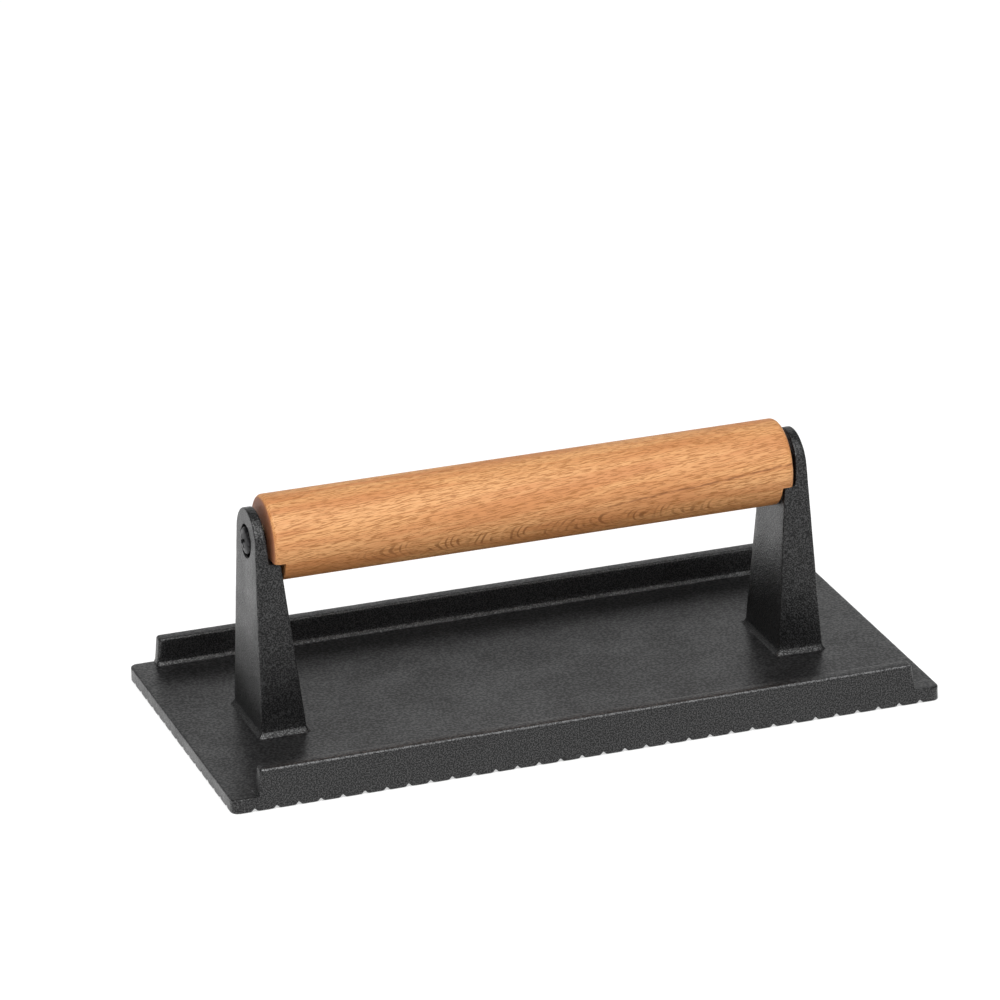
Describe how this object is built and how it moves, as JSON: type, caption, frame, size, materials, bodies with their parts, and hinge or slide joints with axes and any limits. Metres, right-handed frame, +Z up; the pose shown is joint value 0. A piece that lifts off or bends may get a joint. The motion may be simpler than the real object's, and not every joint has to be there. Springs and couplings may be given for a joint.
{
  "type": "bacon press",
  "caption": "Rectangular cast-iron press with a waffle sole, ridged long edges and a round wooden handle between two tapered posts.",
  "frame": {"origin": "middle of the waffle sole, on the surface that the press stands on", "axes": "+X along the plate's length and the handle, +Y to the rear long edge, +Z up"},
  "size_m": [0.2096, 0.108, 0.0708],
  "materials": {
    "casting": "pre-seasoned black, finely pebbled, satin",
    "handle_wood": "oiled beech, satin",
    "screw_steel": "black oxide, satin",
    "washer_steel": "spring steel, satin",
    "insert_brass": "turned brass"
  },
  "bodies": {
    "root": {"base_casting": "casting", "handle": "handle_wood", "handle_screw_left": "screw_steel", "handle_screw_right": "screw_steel", "split_washer_left": "washer_steel", "split_washer_right": "washer_steel", "threaded_insert_left": "insert_brass", "threaded_insert_right": "insert_brass"}
  },
  "joints": []
}
